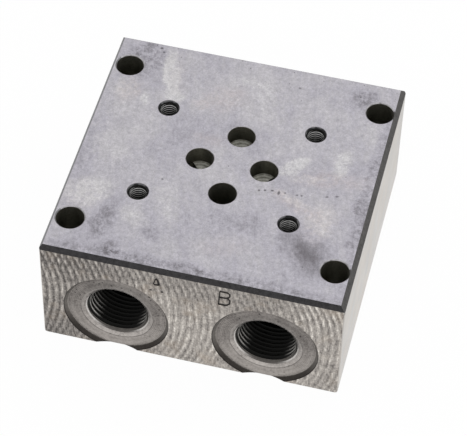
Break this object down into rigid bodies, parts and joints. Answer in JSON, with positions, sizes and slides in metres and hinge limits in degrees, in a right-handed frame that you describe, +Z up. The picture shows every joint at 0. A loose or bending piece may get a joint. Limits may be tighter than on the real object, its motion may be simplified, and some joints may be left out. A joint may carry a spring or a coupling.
{
  "type": "hydraulic manifold block",
  "caption": "Steel block that carries one size 6 directional valve on its top face and joins the valve to threaded pipe ports in its front and back.",
  "frame": {"origin": "middle of the base face", "axes": "+Z up, out of the valve face; -Y out of the front face, which has the two visible side ports; +X to the right seen from the front"},
  "size_m": [0.08, 0.08, 0.035],
  "materials": {
    "steel": "machined and lightly oiled, cloudy grey valve face"
  },
  "bodies": {
    "root": {"manifold_block": "steel"}
  },
  "joints": []
}
